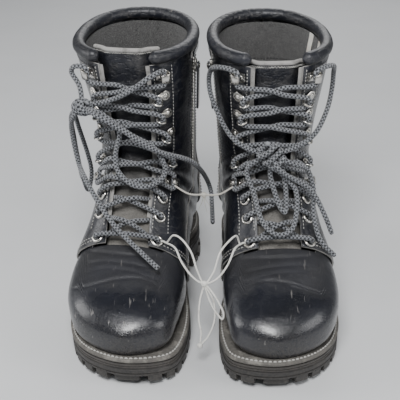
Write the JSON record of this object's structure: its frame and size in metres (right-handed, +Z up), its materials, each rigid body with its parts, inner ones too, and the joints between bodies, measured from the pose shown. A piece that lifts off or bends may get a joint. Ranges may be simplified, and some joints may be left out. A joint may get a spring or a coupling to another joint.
{
  "type": "lace-up boots",
  "caption": "Pair of black leather lace-up combat boots with stitched welt, lugged rubber sole, ring lacing clips and an inside zip.",
  "frame": {"origin": "middle of the pair's footprint, on the floor", "axes": "+Z up, toes toward -Y, the wearer's left boot toward +X"},
  "size_m": [0.2509, 0.3018, 0.2661],
  "materials": {
    "black_leather": "worn polished black leather",
    "tongue_leather": "worn greyish leather",
    "welt_leather": "dusty grey welt with pale stitches",
    "rubber": "dusty black rubber",
    "midsole_rubber": "dark grey rubber",
    "grey_textile": "dark grey felt lining",
    "zip_cloth": "black zip tape",
    "nickel": "worn nickel",
    "lace_cord": "round braided black lace with pale flecks",
    "white_string": "thin white cotton string"
  },
  "bodies": {
    "pair": {"right_outsole": "rubber", "right_heel_block": "rubber", "right_midsole": "midsole_rubber", "right_welt": "welt_leather", "right_insole": "grey_textile", "right_vamp": "black_leather", "right_quarter_outer": "black_leather", "right_quarter_inner_front": "black_leather", "right_quarter_inner_back": "black_leather", "right_heel_counter": "black_leather", "right_backstay": "black_leather", "right_collar_pad": "black_leather", "right_lining": "grey_textile", "right_tongue": "tongue_leather", "right_clips_outer": "nickel", "right_clips_inner": "nickel", "right_eyelets_outer": "nickel", "right_eyelets_inner": "nickel", "right_vent": "nickel", "right_zip_tape": "zip_cloth", "right_zip_garage": "black_leather", "right_lacing": "lace_cord", "right_bow": "lace_cord", "left_outsole": "rubber", "left_heel_block": "rubber", "left_midsole": "midsole_rubber", "left_welt": "welt_leather", "left_insole": "grey_textile", "left_vamp": "black_leather", "left_quarter_outer": "black_leather", "left_quarter_inner_front": "black_leather", "left_quarter_inner_back": "black_leather", "left_heel_counter": "black_leather", "left_backstay": "black_leather", "left_collar_pad": "black_leather", "left_lining": "grey_textile", "left_tongue": "tongue_leather", "left_clips_outer": "nickel", "left_clips_inner": "nickel", "left_eyelets_outer": "nickel", "left_eyelets_inner": "nickel", "left_vent": "nickel", "left_zip_tape": "zip_cloth", "left_zip_garage": "black_leather", "left_lacing": "lace_cord", "left_bow": "lace_cord", "tie_string": "white_string"},
    "right_zip_slider": {"right_zip_slider": "nickel"},
    "right_zip_pull": {"right_zip_pull": "black_leather"},
    "left_zip_slider": {"left_zip_slider": "nickel"},
    "left_zip_pull": {"left_zip_pull": "black_leather"}
  },
  "joints": [
    {"name": "right_zip", "type": "slide", "parent": "pair", "child": "right_zip_slider", "axis": [-0.0119, 0.1202, -0.9927], "range_m": [0, 0.0908]},
    {"name": "right_pull_swing", "type": "hinge", "parent": "right_zip_slider", "child": "right_zip_pull", "pos_m": [-0.00691, 0.05228, 0.22779], "axis": [0.9841, -0.1533, -0.0896], "range_deg": [-45, 45]},
    {"name": "left_zip", "type": "slide", "parent": "pair", "child": "left_zip_slider", "axis": [0.0818, 0.1212, -0.9892], "range_m": [0, 0.0908]},
    {"name": "left_pull_swing", "type": "hinge", "parent": "left_zip_slider", "child": "left_zip_pull", "pos_m": [0.00563, 0.05109, 0.22779], "axis": [-0.9939, -0.0643, -0.0901], "range_deg": [-45, 45]}
  ]
}
